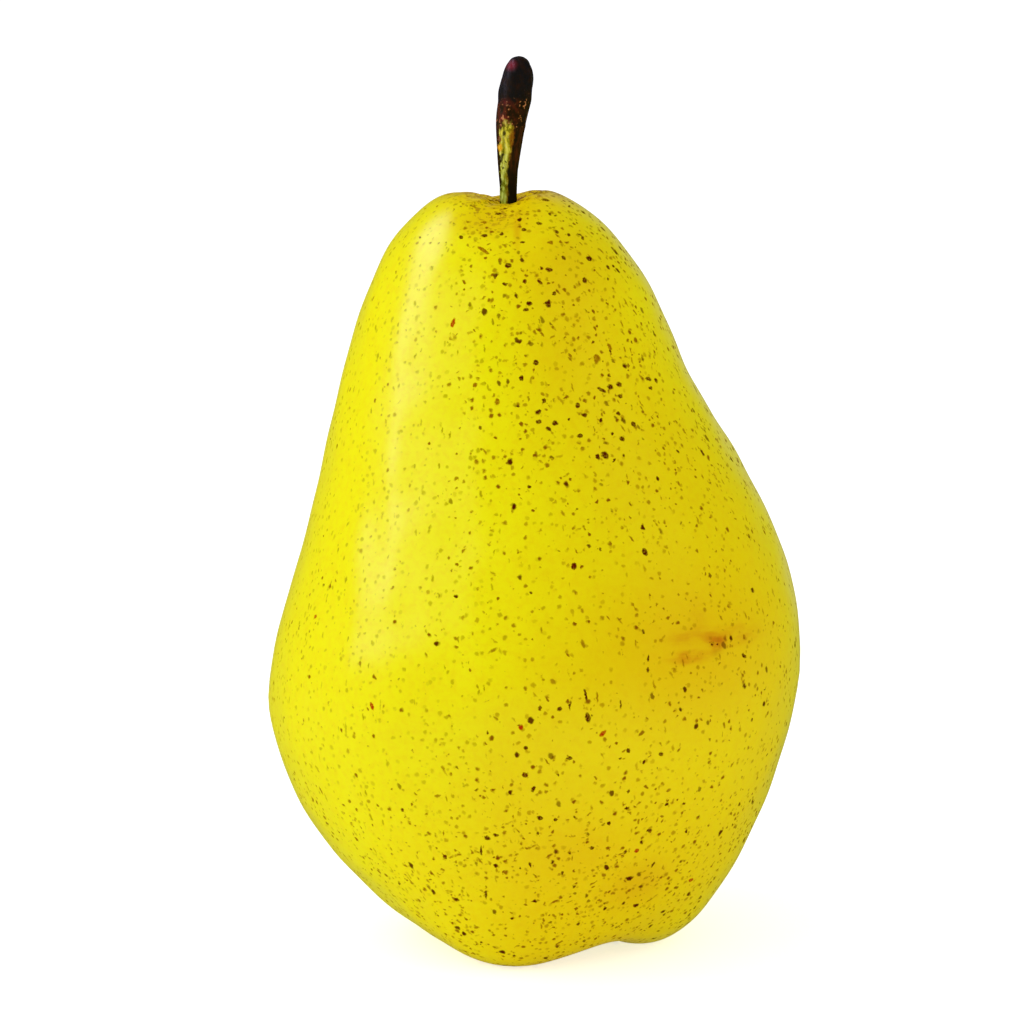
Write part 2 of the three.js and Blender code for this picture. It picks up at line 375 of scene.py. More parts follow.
def stem_rings():
    """Rings round the stem's line: radius (1 + ribs + grooves) + warts, closed at both ends.

    Ribs are depth cos(count (angle + twist rise turns)), as the solid has them, and grooves the
    same with a wandering phase. A wart is a bell in the distance over the surface from its middle.
    """
    line = spline_through(STEM_LINE)
    last = len(STEM_LINE) - 1
    dense = np.linspace(0, last, 1500)
    path = spline_at(line, dense)
    rise = even_steps(path, STEM_RINGS, 1 + 1.5 * bell(dense, last, 2.5))
    x, y, z, radius = np.moveaxis(spline_at(line, rise * last)[:, None], -1, 0)
    angle = ring_angles(STEM_SIDES, 90)[None, :]
    rise = rise[:, None]
    turned = angle + STEM_RIBS["twist"] * rise * FULL_TURN
    ribs = STEM_RIBS["depth"] * np.cos(STEM_RIBS["count"] * turned)
    wander = 0.8 * np.sin(9 * rise + angle) + 0.5 * np.sin(23 * rise - 2 * angle)
    turned = angle + STEM_GROOVES["twist"] * rise * FULL_TURN
    grooves = STEM_GROOVES["depth"] * np.cos(STEM_GROOVES["count"] * turned + wander)
    out = radius * (1 + ribs + grooves)
    for azimuth, height, across, size in STEM_WARTS:
        off = np.angle(np.exp(1j * (angle - math.radians(azimuth)))) * radius
        out = out + size * np.exp(-(off**2 + (z - height) ** 2) / across**2) * (radius > 0.5)
    out[0] = out[-1] = 0
    return np.stack([x + out * np.cos(angle), y + out * np.sin(angle), z + 0 * angle], -1)


# ---- The calyx ----

def around_basin(x, y, z, azimuth):
    """Points made along +X, turned by an azimuth in degrees and set in the middle of the basin."""
    turn = math.radians(azimuth)
    turned_x = x * math.cos(turn) - y * math.sin(turn)
    turned_y = x * math.sin(turn) + y * math.cos(turn)
    return np.stack(np.broadcast_arrays(BASIN[0] + turned_x, BASIN[1] + turned_y, z), -1)


def plug_rings():
    """The plug and its cup: a profile turned round, its radius times 1 + 0.04 cos(5 angle) at the
    cup, and its height moved by fibres of 0.04 cos(23 angle + 4 height)."""
    angle = ring_angles(60, 0)[None, :]
    profile = np.array(PLUG_PROFILE)
    positions = np.linspace(0, len(profile) - 1, 61)
    radius = np.interp(positions, np.arange(len(profile)), profile[:, 0])[:, None]
    height = np.interp(positions, np.arange(len(profile)), profile[:, 1])[:, None]
    lobed = 1 + 0.04 * np.cos(5 * angle) * bell(height, 4.7, 0.5)
    fibres = 0.04 * np.cos(23 * angle + 4 * height) * (radius > 0.5)
    out = radius * lobed
    return around_basin(out * np.cos(angle), out * np.sin(angle), height + fibres, 0)


def sepal_rings(azimuth, width, length, curl, lift):
    """One dry sepal: a thin oval section carried along its line, narrowing to a ragged tip.

    With run from 0 to 1 and across from -1 to 1, the half width is
    width/2 (1 - 0.84 run^2) (1 + ragged waves), the blade is cupped by
    0.30 half width across^2 (1 - 0.3 run) and rippled by 0.05 sin(14 across + 9 run), and the
    tip drifts sideways by curl run^2, and up by lift run^3.
    """
    run = np.linspace(0, 1, 40)
    line = spline_through(SEPAL_LINE)
    last = len(SEPAL_LINE) - 1
    middle = spline_at(line, run * last * length)
    along = np.gradient(middle, axis=0)
    along /= np.linalg.norm(along, axis=1, keepdims=True)
    angle = ring_angles(28, 0)[None, :]
    run = run[:, None]
    ragged = 1 + 0.10 * np.sin(17 * run + 3 * azimuth) * run + 0.06 * np.sin(41 * run + azimuth)
    half_width = width / 2 * (1 - 0.84 * run**2) * ragged
    across = np.cos(angle)
    thickness = SEPAL_THICKNESS / 2 * (1 - 0.5 * run)
    rib = 1 + 0.5 * np.exp(-((across / 0.22) ** 2))
    through = thickness * np.sin(angle) * rib + 0.30 * half_width * across**2 * (1 - 0.3 * run)
    through = through + 0.05 * np.sin(14 * across + 9 * run)
    side = half_width * across + curl * run**2
    out = middle[:, :1] - along[:, 1:] * through
    up = middle[:, 1:] + along[:, :1] * through + lift * run**3
    rings = np.stack([out, side, up], -1)
    rings[0] = rings[0].mean(axis=0)
    rings[-1] = rings[-1].mean(axis=0)
    return around_basin(*np.moveaxis(rings, -1, 0), azimuth)


def stamen_rings(number):
    """One dried filament: a thin round section along a bent line out of the cup, with a small
    head. Its azimuth goes round by the golden angle, and its reach grows with its number."""
    share = number / STAMENS
    azimuth = 137.5 * number
    root = 0.25 + 0.65 * share
    run = np.linspace(0, 1, 9)[:, None]
    angle = ring_angles(6, 0)[None, :]
    out = root + (0.5 + 0.5 * share) * run**1.5 * (0.6 + 0.4 * math.sin(2.1 * number))
    down = 5.3 - (1.5 + 0.7 * math.sin(1.3 * number)) * run
    radius = 0.07 * (1 - 0.3 * run) + 0.10 * bell(run, 0.93, 0.08)
    radius[0] = radius[-1] = 0
    bend = 0.25 * np.sin(2.4 * run + number)
    return around_basin(out + radius * np.cos(angle), bend - radius * np.sin(angle), down, azimuth)


# ---- Materials ----

def paint(red, green, blue):
    """A colour given as it looks on a screen, 0 to 255, as the linear colour that a shader takes."""
    shown = np.array([red, green, blue]) / 255
    linear = np.where(shown <= 0.04045, shown / 12.92, ((shown + 0.055) / 1.055) ** 2.4)
    return (*linear.tolist(), 1.0)


class Recipe:
    """The nodes of a new material, or of the world. A method adds nodes and gives back an output."""

    def __init__(self, name, kind=bpy.data.materials, shader="Principled BSDF"):
        self.owner = kind.new(name)
        self.owner.use_nodes = True
        self.tree = self.owner.node_tree
        self.shader = self.tree.nodes[shader]

    def put(self, socket, value):
        """Links an output to an input, or sets the input's own value."""
        if isinstance(value, bpy.types.NodeSocket):
            self.tree.links.new(value, socket)
        else:
            socket.default_value = value

    def node(self, kind, inputs, **settings):
        """A new node of this kind, with its inputs and its own settings."""
        made = self.tree.nodes.new("ShaderNode" + kind)
        for name, value in settings.items():
            setattr(made, name, value)
        for name, value in inputs.items():
            self.put(made.inputs[name], value)
        return made

    def place(self):
        """Object coordinates in millimetres."""
        coordinates = self.node("TexCoord", {}).outputs["Object"]
        return self.mapped(coordinates, scale=(1 / MM,) * 3)

    def mapped(self, vector, kind="POINT", **changes):
        """The vector, moved, turned or scaled by a Mapping node."""
        inputs = {name.capitalize(): value for name, value in changes.items()}
        return self.node("Mapping", {"Vector": vector, **inputs}, vector_type=kind).outputs[0]

    def axes(self, vector):
        return self.node("SeparateXYZ", {"Vector": vector}).outputs

    def math(self, operation, *values):
        """What a Math node with this operation makes of the values."""
        return self.node("Math", dict(enumerate(values)), operation=operation).outputs[0]

    def times(self, first, second):
        return self.math("MULTIPLY", first, second)

    def between(self, value, low, high, start=0.0, end=1.0):
        """A smooth step: start at low, end at high."""
        inputs = {"Value": value, "From Min": low, "From Max": high, "To Min": start, "To Max": end}
        return self.node("MapRange", inputs, interpolation_type="SMOOTHSTEP").outputs[0]

    def noise(self, vector, size, detail=2.0, roughness=0.5, output="Fac"):
        """Soft noise whose patches are about this size across, in millimetres."""
        inputs = {"Vector": vector, "Scale": 1 / size, "Detail": detail, "Roughness": roughness}
        return self.node("TexNoise", inputs).outputs[output]

    def shaken(self, vector, size, amount):
        """The vector, moved by noise of this size by up to about this amount each way."""
        colour = self.noise(vector, size, 1.0, output="Color")
        centred = self.node("VectorMath", {0: colour, 1: (-0.5,) * 3}, operation="ADD").outputs[0]
        shift = self.node("VectorMath", {0: centred, "Scale": 2 * amount}, operation="SCALE")
        return self.node("VectorMath", {0: vector, 1: shift.outputs[0]}, operation="ADD").outputs[0]

    def blended(self, share, first, second):
        """The first colour with this share of the second."""
        return self.node("Mix", {0: share, 6: first, 7: second}, data_type="RGBA").outputs[2]

    def tinted(self, colour, tone, mask, strength):
        """The colour with the tone over it, where the mask lies, at this strength."""
        return self.blended(self.times(mask, strength), colour, tone)

    def specks(self, vector, cell, radius, share, edge=0.3, seed=0.0, turn=(0, 0, 0), stretch=1.0):
        """Round or drawn-out specks scattered through space, as a mask and a random colour.

        Space is cut into cells about cell across. A cell holds a speck when its random red is
        under the share. The speck's radius is radius (0.55 + 0.9 random green), and its edge
        softens over this share of it. Stretch draws cells and specks out along Z.
        """
        scale = (1 / cell, 1 / cell, 1 / (cell * stretch))
        turned = self.mapped(vector, location=(seed, seed * 1.7, seed * 0.6), rotation=turn)
        scaled = self.mapped(turned, scale=scale)
        cells = self.node("TexVoronoi", {"Vector": scaled, "Scale": 1.0})
        chance = self.node("SeparateColor", {"Color": cells.outputs["Color"]}).outputs
        present = self.math("LESS_THAN", chance[0], share)
        size = self.math("MULTIPLY_ADD", chance[1], 0.9 * radius / cell, 0.55 * radius / cell)
        inner = self.times(size, 1 - edge)
        outer = self.times(size, 1 + edge)
        disc = self.between(cells.outputs["Distance"], inner, outer, 1.0, 0.0)
        return self.times(disc, present), chance[2]

    def leaned(self, vector, lean):
        """The vector in axes that lean over by an angle about Y, in degrees.

        Adding nothing makes it a vector once, for all the spots that use it. Made one by one for
        each of them, they would not fit in a shader, which then turns black.
        """
        turned = self.mapped(vector, "TEXTURE", rotation=(0.0, math.radians(lean), 0.0))
        return self.node("VectorMath", {0: turned}, operation="ADD").outputs[0]

    def spot(self, axes, centre, radii, lean=0.0, edge=0.3):
        """One oval spot round a place, as a mask, in axes that lean over by this angle.

        It is 1 where the length of (place - centre) / radii is under 1 - edge, and 0 past 1 + edge.
        """
        sin, cos = math.sin(math.radians(lean)), math.cos(math.radians(lean))
        x, y, z = centre
        radii = np.array(radii, float)
        shift = -np.array([x * cos - z * sin, y, x * sin + z * cos]) / radii
        inputs = {0: axes, 1: (1 / radii).tolist(), 2: shift.tolist()}
        local = self.node("VectorMath", inputs, operation="MULTIPLY_ADD").outputs[0]
        off = self.node("VectorMath", {0: local}, operation="LENGTH").outputs["Value"]
        return self.between(off, 1 - edge, 1 + edge, 1.0, 0.0)

    def bump(self, height, distance, strength=1.0):
        inputs = {"Height": height, "Distance": distance, "Strength": strength}
        self.put(self.shader.inputs["Normal"], self.node("Bump", inputs).outputs[0])

    def finish(self, **settings):
        """Sets the shader's own sockets; a name's underscores stand for spaces."""
        for name, value in settings.items():
            self.put(self.shader.inputs[name.replace("_", " ")], value)
        return self.owner


LEMON = paint(243, 236, 10)
GOLD = paint(239, 217, 8)
AMBER = paint(228, 172, 8)
ORANGE = paint(206, 104, 12)
RUSSET = paint(146, 84, 10)
OLIVE = paint(152, 134, 0)
OCHRE = paint(158, 106, 0)
BROWN = paint(122, 30, 0)
DARK = paint(84, 2, 2)
UMBER = paint(96, 40, 0)
RED = paint(176, 40, 8)
MAROON = paint(98, 8, 6)

# Where the camera stands: this far from its target, in a direction raised by this many degrees.
CAMERA_TARGET = (-2.95, 0, 56.5)
CAMERA_DISTANCE = 504.2
CAMERA_RISE = math.radians(9)
CAMERA_AWAY = (0.0, -math.cos(CAMERA_RISE), math.sin(CAMERA_RISE))
CAMERA_UP = (0.0, math.sin(CAMERA_RISE), math.cos(CAMERA_RISE))
CAMERA_LENS = 135
CAMERA_SENSOR = 36
PICTURE_SIDE = 1024

# Single marks on the front of the skin, by their colour, as (column, row, half width, half height,
# lean in degrees): the larger lenticels, and small red flecks. Column and row are pixels of the
# camera's picture, which is PICTURE_SIDE wide, and the skin's place there is worked out from them.
MARKS = {
    DARK: [
        (605, 455, 0.44, 0.55, -30), (598, 457, 0.26, 0.42, -30), (633.9, 423.8, 0.3, 0.34, 15),
        (555, 423, 0.42, 0.36, 0), (588, 718, 0.36, 0.66, -15), (585.6, 694.6, 0.18, 0.75, -15),
        (746, 687, 0.4, 0.56, -30), (629.8, 878.7, 0.48, 0.34, 30), (722, 833, 0.42, 0.48, 15),
        (487, 838, 0.4, 0.36, 0), (540, 818, 0.34, 0.32, 0), (533, 789, 0.24, 0.44, 30),
        (754, 590, 0.42, 0.34, 0), (744, 656, 0.18, 0.52, -45), (648, 658.2, 0.16, 0.44, 0),
        (648, 669.9, 0.18, 0.36, 0), (645, 552, 0.3, 0.48, -30), (508.5, 265.4, 0.42, 0.34, 0),
        (548, 304, 0.34, 0.46, 0), (590, 258, 0.46, 0.36, 0), (498.5, 213, 0.42, 0.24, 0),
        (460.7, 236.7, 0.28, 0.3, 0), (483.7, 235.4, 0.42, 0.22, 0), (546, 199.5, 0.58, 0.22, 0),
        (610.1, 386.8, 0.4, 0.38, 0), (543.7, 400.7, 0.28, 0.28, 0), (538.6, 411.7, 0.34, 0.3, 0),
        (580, 435.9, 0.36, 0.32, 0), (622.5, 439.2, 0.4, 0.3, 30), (614.1, 460.1, 0.16, 0.36, 30),
        (536, 362.6, 0.38, 0.3, -15), (521.3, 378, 0.26, 0.38, 0), (529.4, 303.5, 0.36, 0.3, 0),
        (526.1, 309.8, 0.34, 0.24, 0), (569.5, 758.3, 0.36, 0.22, 0), (525.8, 747.9, 0.26, 0.26, 0),
        (627.2, 808.5, 0.34, 0.24, 0), (609, 823.3, 0.24, 0.3, 0), (649.3, 830.6, 0.36, 0.28, 0),
        (592.1, 848, 0.34, 0.26, 0), (555.7, 819.4, 0.26, 0.24, 0), (495.9, 865.7, 0.3, 0.26, -30),
        (481.1, 850.6, 0.16, 0.7, 0), (667.5, 804.3, 0.3, 0.24, 0), (641.5, 842.8, 0.22, 0.34, 0),
        (653.2, 864.9, 0.2, 0.44, 30),
    ],
    UMBER: [
        (571, 205, 0.55, 0.16, -30), (539, 223, 0.4, 0.22, 15), (502, 233.5, 0.28, 0.32, 15),
        (524, 229, 0.34, 0.3, 0), (523, 241.7, 0.3, 0.22, 0), (583, 236.7, 0.26, 0.4, 0),
        (564, 257.4, 0.34, 0.28, 0), (585, 280, 0.42, 0.34, -45), (486, 895, 0.16, 0.72, 0),
        (602, 390, 0.22, 0.62, -60), (538.6, 421.6, 0.36, 0.24, 0), (619.6, 384.2, 0.4, 0.36, 0),
        (620.3, 396.3, 0.34, 0.28, 0), (584.4, 414.6, 0.34, 0.3, 30),
        (618.5, 413.5, 0.28, 0.26, 0), (577.8, 405.1, 0.26, 0.34, 0),
        (649.3, 378.7, 0.6, 0.24, 15), (657, 380.2, 0.3, 0.4, 0), (651.5, 387.9, 0.36, 0.26, 0),
        (519.5, 341.3, 0.3, 0.26, 0), (554.3, 293.3, 0.3, 0.24, 0), (505.2, 284.1, 0.34, 0.2, 0),
        (608.6, 266.5, 0.24, 0.34, -30), (614.1, 265.4, 0.3, 0.3, 0), (495.9, 835, 0.4, 0.28, 0),
        (661, 754.4, 0.28, 0.3, 0), (559.6, 708.9, 0.34, 0.28, -15), (570, 705, 0.12, 0.6, 0),
        (620.7, 704.2, 0.12, 0.54, 0), (681.8, 862.3, 0.34, 0.3, 0), (625.4, 852.4, 0.24, 0.26, 0),
        (628.5, 791.6, 0.24, 0.24, 0),
    ],
    OCHRE: [
        (483, 250, 0.24, 0.95, -60), (550.7, 242, 0.42, 0.3, -15), (484, 222, 0.5, 0.18, 0),
        (597.2, 358.2, 0.46, 0.5, -30), (609.7, 346.8, 0.24, 0.5, -30),
        (497.5, 401.8, 0.3, 0.36, 0), (474.8, 385.3, 0.32, 0.28, 0),
    ],
    RED: [
        (453, 323, 0.26, 0.56, 30), (372, 706, 0.2, 0.55, -30), (603, 734.1, 0.3, 0.52, 45),
        (314, 617, 0.4, 0.26, -45), (692, 881, 0.46, 0.34, 30), (637, 851, 0.36, 0.3, 0),
        (521, 727, 0.34, 0.34, 0),
    ],
    MAROON: [
        (574, 566, 0.34, 0.46, 15), (525, 775, 0.34, 0.32, 0), (402, 810, 0.3, 0.3, 0),
        (445, 857, 0.34, 0.3, 0), (712.4, 645.1, 0.26, 0.2, 0), (717.8, 643.9, 0.16, 0.2, 15),
        (541.5, 268.3, 0.24, 0.26, 0), (549.2, 269.8, 0.44, 0.24, 15),
        (524.6, 281.2, 0.26, 0.28, 0), (540, 281.9, 0.18, 0.4, -45), (540.1, 708.1, 0.24, 0.28, 0),
        (684.4, 803.8, 0.3, 0.22, 15),
    ],
}

# Soft patches of deeper colour, as (colour, strength, x, z, half width, half height, softness).
PATCHES = [
    (AMBER, 0.5, 20.0, 43.5, 12.0, 8.0, 0.95), (AMBER, 0.24, 6.0, 14.0, 15.0, 10.0, 0.95),
    (AMBER, 0.25, 2.5, 83.0, 5.0, 9.0, 0.95), (AMBER, 0.27, 4.2, 91.2, 8.0, 4.8, 0.95),
    (ORANGE, 0.25, 13.2, 12.2, 4.0, 3.2, 0.9), (ORANGE, 0.28, -6.0, 95.3, 4.5, 1.6, 0.9),
    (ORANGE, 0.34, -2.3, 94.6, 0.4, 2.6, 0.9), (AMBER, 0.24, 5.6, 18.2, 4.5, 3.2, 0.95),
]

# Where the skin is scuffed, with the same values.
SCUFFS = [
    (ORANGE, 0.34, 25.4, 44.4, 4.4, 1.2, 0.9), (ORANGE, 0.4, 19.6, 45.0, 3.2, 0.9, 0.9),
    (ORANGE, 0.55, 19.3, 42.6, 2.6, 0.7, 0.9), (ORANGE, 0.14, 20.5, 47.5, 1.2, 2.2, 0.9),
    (ORANGE, 0.6, 22.8, 44.0, 1.7, 1.2, 0.8), (RED, 0.36, 22.9, 44.1, 0.9, 0.5, 0.9),
    (OCHRE, 0.25, 22.9, 42.6, 0.8, 0.5, 0.8), (ORANGE, 0.62, 18.7, 42.6, 0.7, 0.6, 0.8),
]

# The rim of the stem cavity on its left, as (x, z), and the crest beside it, as (x, y, z).
CAVITY_RIM = (-6.0, 96.6)
CAVITY_CREST = (-9.7, 1.5, 98.2)

# Layers of specks: cell, radius, share, softness of the edge, lean in degrees, how drawn out,
# colour (None takes the pale one of its side), least and greatest strength, and whether they
# crowd on parts of the skin.
SPECKS = [
    (0.92, 0.21, 0.54, 0.45, 0, 1.0, None, 0.25, 0.64, False),
    (0.8, 0.13, 0.32, 0.45, 7, 4.2, None, 0.45, 0.9, False),
    (0.8, 0.13, 0.24, 0.45, 38, 3.6, BROWN, 0.4, 0.8, True),
    (0.8, 0.13, 0.2, 0.45, -60, 3.2, BROWN, 0.4, 0.8, True),
    (0.86, 0.21, 0.42, 0.45, 0, 1.1, BROWN, 0.45, 0.9, True),
    (1.3, 0.23, 0.38, 0.3, 20, 1.6, DARK, 0.65, 0.96, True),
    (2.3, 0.28, 0.46, 0.3, 0, 1.15, DARK, 0.93, 0.99, True),
]


def on_front(rings, x, z):
    """The point of the skin's front at this x and z: its y is a mean of the foremost points there.

    A point's weight is exp(-2 off - y), with off the square of its distance from x and z.
    """
    y = rings[..., 1]
    off = (rings[..., 0] - x) ** 2 + (rings[..., 2] - z) ** 2
    weight = np.exp(-2 * off - y)
    return x, float(np.sum(weight * y) / np.sum(weight)), z


def seen_at(rings, column, row):
    """The place of the skin that the camera sees at this column and row of its picture.

    It lies on the line from the camera through that pixel, at the mean depth of the skin's points
    there. A point's weight is exp(-off / 24 - y), with off the square of its distance in pixels.
    """
    away, up = np.array(CAMERA_AWAY), np.array(CAMERA_UP)
    camera = np.array(CAMERA_TARGET) + CAMERA_DISTANCE * away
    focal = PICTURE_SIDE * CAMERA_LENS / CAMERA_SENSOR
    right_of, below = column - PICTURE_SIDE / 2, row - PICTURE_SIDE / 2
    depth = (camera - rings) @ away
    off = (focal * (rings - camera)[..., 0] / depth - right_of) ** 2
    off = off + (focal * ((camera - rings) @ up) / depth - below) ** 2
    weight = np.exp(-off / 24 - rings[..., 1])
    depth = np.sum(weight * depth) / np.sum(weight)
    line = np.array([right_of, 0, 0]) / focal - below / focal * up - away
    return tuple((camera + depth * line).tolist())


def crowding(skin, place, x, z):
    """How thickly the darker specks lie: sparse on the left and round the waist, a little so at the
    far right, and thick in clumps and towards both ends."""
    left = skin.between(x, -22, -4, 0.5, 1.0)
    neck = skin.times(skin.between(x, -4, -13), skin.between(z, 46, 60))
    neck = skin.math("MULTIPLY_ADD", neck, -0.8, 1.0)
    from_waist = skin.math("ABSOLUTE", skin.math("SUBTRACT", z, 42))
    waist = skin.between(from_waist, 6, 34, 0.45, 1.6)
    crowd = skin.between(skin.noise(place, 5, 2.0), 0.38, 0.62, 0.45, 1.45)
    clump = skin.between(skin.noise(place, 1.8, 1.0), 0.38, 0.62, 0.35, 1.65)
    right = skin.between(x, 14, 26, 1.0, 0.8)
    base = skin.between(z, 28, 14, 1.0, 1.42)
    density = skin.times(left, neck)
    for factor in (right, waist, base, crowd, clump):
        density = skin.times(density, factor)
    return density


def speckled(skin, place, ground, density, pale_tone):
    """The ground colour with all layers of specks, and a mask of where they lie."""
    shaken = skin.shaken(skin.shaken(place, 0.9, 0.22), 0.28, 0.13)
    x, y, _ = skin.axes(place)
    faint = skin.between(x, -20, -4, 0.80, 1.0)
    fine = skin.between(x, -20, -2, 1.42, 1.0)
    rare = skin.times(skin.between(x, -20, 0, 0.3, 1.0), skin.between(y, -4, -12, 1.0, 0.6))
    marked = 0.0
    for number, layer in enumerate(SPECKS):
        cell, radius, share, edge, lean, stretch, tone, least, most, crowds = layer
        amount = skin.times(density if crowds else fine, share)
        amount = skin.times(amount, rare) if tone is DARK else amount
        turn = (0.0, math.radians(lean), 0.0)
        seed = 7.3 * number + 3.1
        mask, chance = skin.specks(shaken, cell, radius, amount, edge, seed, turn, stretch)
        mask = skin.times(mask, skin.between(chance, 0, 1, least, most))
        mask = mask if crowds else skin.times(mask, faint)
        ground = skin.blended(mask, ground, tone or pale_tone)
        marked = skin.math("MAXIMUM", marked, mask)
    return ground, marked


def cavity_russet(skin, place, ground, rings):
    """Rough golden-brown skin round the stem: thin streaks that run round it and small blots, over
    an amber ground, with more blots on the left of the cavity's rim.

    The streaks are noise over (direction from the stem, 1.3 times the distance).
    """
    from_stem = skin.mapped(place, location=(-STEM_HOLE["x"], -STEM_HOLE["y"], 0), scale=(1, 1, 0))
    distance = skin.node("VectorMath", {0: from_stem}, operation="LENGTH").outputs["Value"]
    direction = skin.node("VectorMath", {0: from_stem}, operation="NORMALIZE").outputs[0]
    x, y, _ = skin.axes(direction)
    inputs = {"X": x, "Y": y, "Z": skin.times(distance, 1.3)}
    polar = skin.node("CombineXYZ", inputs).outputs[0]
    streaks = skin.between(skin.noise(polar, 0.5, 3.0, 0.65), 0.50, 0.64)
    blots = skin.between(skin.noise(place, 0.9, 3.0, 0.65), 0.52, 0.60)
    high = skin.between(skin.axes(place)[2], 90, 96)
    amber = skin.times(skin.between(distance, 12.5, 4.0), high)
    ground = skin.tinted(ground, AMBER, amber, 0.6)
    near = skin.times(skin.between(distance, 9.0, 2.0), high)
    share = skin.times(near, skin.math("MAXIMUM", streaks, blots))
    level = skin.leaned(place, 0)
    rim = skin.spot(level, on_front(rings, *CAVITY_RIM), (3.4, 5.0, 1.9), edge=0.7)
    crest = skin.spot(level, CAVITY_CREST, (3.6, 2.6, 1.5), edge=0.6)
    rim = skin.times(skin.math("MAXIMUM", rim, crest), blots)
    share = skin.math("MAXIMUM", share, skin.times(rim, 0.6))
    return skin.blended(share, ground, RUSSET), share


def skin_material(rings):
    """Lemon skin that turns gold to the right and deeper gold below the waist, partly as painted
    shade, with amber and orange patches, scuffs, russet round the stem, layers of specks, and single
    marks over them all."""
    skin = Recipe("pear_skin")
    place = skin.place()
    x, y, z = skin.axes(place)
    drift = skin.math("MULTIPLY_ADD", skin.noise(place, 16, 2.0), 24.0, -12.0)
    # The gold grows to the right, and also from z 52 down to z 32: the lower skin's deeper gold is
    # partly its own colour and partly painted shade for the underside, which gets less light.
    side = skin.math("ADD", skin.math("ADD", x, drift), skin.between(z, 52, 32, 0, 12))
    gold = skin.times(skin.between(side, -11, 13), skin.between(y, -4, -17, 0.1, 1.0))
    colour = skin.blended(gold, LEMON, GOLD)
    level = skin.leaned(place, 0)
    for tone, strength, at_x, at_z, wide, high, soft in PATCHES:
        size = (wide, max(wide, high), high)
        patch = skin.spot(level, on_front(rings, at_x, at_z), size, edge=soft)
        colour = skin.tinted(colour, tone, patch, strength)
    mottle = skin.noise(place, 0.9, 3.0, 0.65)
    colour = skin.blended(skin.between(mottle, 0.35, 0.8, 0.0, 0.22), colour, AMBER)

    streaks = skin.noise(skin.mapped(place, scale=(0.35, 0.35, 1.3)), 1.3, 3.0, 0.6)
    streaks = skin.between(streaks, 0.36, 0.62, 0.3, 1.0)
    for tone, strength, at_x, at_z, wide, high, soft in SCUFFS:
        patch = skin.spot(level, on_front(rings, at_x, at_z), (wide, wide, high), edge=soft)
        colour = skin.tinted(colour, tone, skin.times(patch, streaks), strength)

    colour, russet = cavity_russet(skin, place, colour, rings)
    density = crowding(skin, place, x, z)
    pale_tone = skin.blended(gold, OLIVE, OCHRE)
    colour, marked = speckled(skin, place, colour, density, pale_tone)
    shaken = skin.shaken(skin.shaken(place, 0.7, 0.16), 0.25, 0.14)
    grain = skin.between(skin.noise(place, 0.25, 2.0), 0.36, 0.56, 0.75, 1.0)
    leans = sorted({lean for spots in MARKS.values() for *_, lean in spots})
    leaned = {lean: skin.leaned(shaken, lean) for lean in leans}
    for tone, spots in MARKS.items():
        mark = 0.0
        for column, row, wide, high, lean in spots:
            size = (wide, max(wide, high), high)
            spot = skin.spot(leaned[lean], seen_at(rings, column, row), size, lean, 0.25)
            mark = skin.math("MAXIMUM", mark, spot)
        mark = skin.times(mark, grain)
        colour = skin.blended(mark, colour, tone)
        marked = skin.math("MAXIMUM", marked, mark)

    fine = skin.noise(place, 0.35, 2.0)
    skin.bump(skin.math("MULTIPLY_ADD", fine, 0.25, russet), 0.05 * MM, 0.6)
    rough = skin.math("MULTIPLY_ADD", skin.math("MAXIMUM", marked, russet), 0.22, 0.31)
    glossy = skin.math("MULTIPLY_ADD", marked, -0.42, 0.5)
    return skin.finish(Base_Color=colour, Roughness=rough, IOR=1.45, Specular_IOR_Level=glossy)


WARM_BROWN = paint(128, 62, 22)
HONEY = paint(236, 168, 36)
WINE = paint(104, 14, 40)
ROSE = paint(136, 20, 56)
FOOT_GREEN, FOOT_YELLOW = paint(192, 214, 96), paint(222, 206, 62)
FOOT_PALE, FOOT_MOSS, FOOT_SHADE = paint(222, 228, 130), paint(104, 100, 8), paint(84, 84, 12)
BARK_DARK, BARK_RED, BARK_BLACK = paint(24, 8, 32), paint(72, 22, 32), paint(8, 2, 24)
BAND_DARK, BAND_RED, BAND_PALE = paint(30, 6, 36), paint(84, 18, 34), paint(206, 132, 84)
END_DARK, END_RED = paint(10, 6, 48), paint(36, 10, 42)
HUSK_DARK, HUSK_PALE = paint(52, 34, 22), paint(122, 90, 56)

# Blotches on the foot of the stem, as (colour, x, z, half width, half height).
STEM_BLOTCHES = [
    (HONEY, -4.55, 104.2, 0.34, 0.5), (WINE, -4.62, 105.4, 0.26, 0.42),
    (WARM_BROWN, -3.0, 105.6, 0.36, 1.2), (BARK_DARK, -4.35, 102.9, 0.24, 0.5),
    (BARK_DARK, -3.95, 106.2, 0.18, 0.3), (BARK_DARK, -4.15, 103.4, 0.26, 0.16),
    (BARK_DARK, -3.5, 101.2, 0.24, 0.6), (BARK_DARK, -4.38, 99.8, 0.2, 0.62),
    (BARK_DARK, -3.75, 102.5, 0.12, 0.14), (BARK_DARK, -4.1, 101.6, 0.1, 0.16),
]

# Wine-red spots on the band above it, as (x, z, half width, half height), and the rosy end.
BAND_SPOTS = [(-4.1, 108.0, 0.7, 0.5), (-3.7, 110.2, 0.6, 0.5)]
ROSY_END = (-3.1, -1.0, 114.9)


